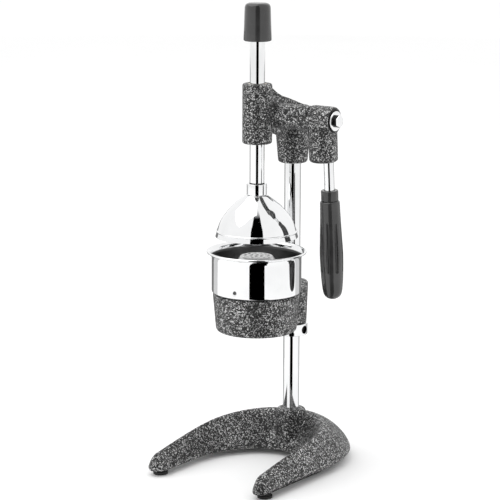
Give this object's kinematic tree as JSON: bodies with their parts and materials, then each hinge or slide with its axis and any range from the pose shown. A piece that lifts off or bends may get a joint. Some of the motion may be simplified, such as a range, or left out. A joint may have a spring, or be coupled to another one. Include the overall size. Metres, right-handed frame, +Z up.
{
  "type": "citrus press juicer",
  "caption": "Tall hand press that squeezes citrus halves: lever, toothed plunger rod and bell above a cup with a strainer cone, on a horseshoe foot.",
  "frame": {"origin": "centre of the footprint, on the table under the feet", "axes": "+Z up along the column; -Y to the front where the glass stands; +X to the lever's side"},
  "size_m": [0.1932, 0.2526, 0.5651],
  "materials": {
    "hammertone": "dark grey hammertone enamel with silver flecks",
    "chrome": "bright chrome plate",
    "stainless": "satin stainless sheet",
    "gear_steel": "machined steel, lightly greased",
    "bearing": "sintered bronze",
    "plastic": "glossy black moulding",
    "rubber": "matt black",
    "black_steel": "black oxide"
  },
  "bodies": {
    "stand": {"base": "hammertone", "foot_front_left": "rubber", "foot_front_right": "rubber", "foot_rear": "rubber", "foot_screw_front_left": "gear_steel", "foot_screw_front_right": "gear_steel", "foot_screw_rear": "gear_steel", "column": "chrome", "column_washer": "gear_steel", "column_bolt": "gear_steel", "head_casting": "hammertone", "head_grub_screw_1": "black_steel", "head_grub_screw_2": "black_steel", "guide_bush_lower": "bearing", "guide_bush_upper": "bearing", "shaft_bush_inner": "bearing", "shaft_bush_outer": "bearing", "gear_cover": "stainless", "cover_circlip": "black_steel"},
    "holder": {"cup_holder": "hammertone", "holder_grub_screw": "black_steel", "shaft_collar": "chrome", "collar_grub_screw": "black_steel"},
    "cup": {"cup": "chrome", "strainer_cone": "stainless"},
    "plunger": {"rack_rod": "chrome", "rod_cap": "plastic", "pressing_bell": "chrome", "bell_collar": "chrome", "bell_washer": "stainless", "bell_bolt": "stainless"},
    "lever": {"pinion_shaft": "gear_steel", "hub_key": "gear_steel", "lever_hub": "hammertone", "hub_washer": "chrome", "hub_bolt": "chrome", "handle_grub_screw": "black_steel", "handle_rod": "chrome", "grip_ferrule": "plastic", "handle_grip": "plastic"}
  },
  "joints": [
    {"name": "lever_turn", "type": "hinge", "parent": "stand", "child": "lever", "pos_m": [0.0735, 0.00018, 0.4318], "axis": [1, 0, 0], "range_deg": [-201.5, 210]},
    {"name": "plunger_slide", "type": "slide", "parent": "stand", "child": "plunger", "axis": [0, 0, 1], "range_m": [-0.0496, 0.0476]},
    {"name": "holder_height", "type": "slide", "parent": "stand", "child": "holder", "axis": [0, 0, 1], "range_m": [-0.08, 0]},
    {"name": "cup_turn", "type": "hinge", "parent": "holder", "child": "cup", "pos_m": [-0.0069, -0.02052, 0.2203], "axis": [0, 0, 1], "continuous": true}
  ],
  "couplings": [
    {"joint": "plunger_slide", "follows": "lever_turn", "m_per_rad": -0.0135}
  ]
}
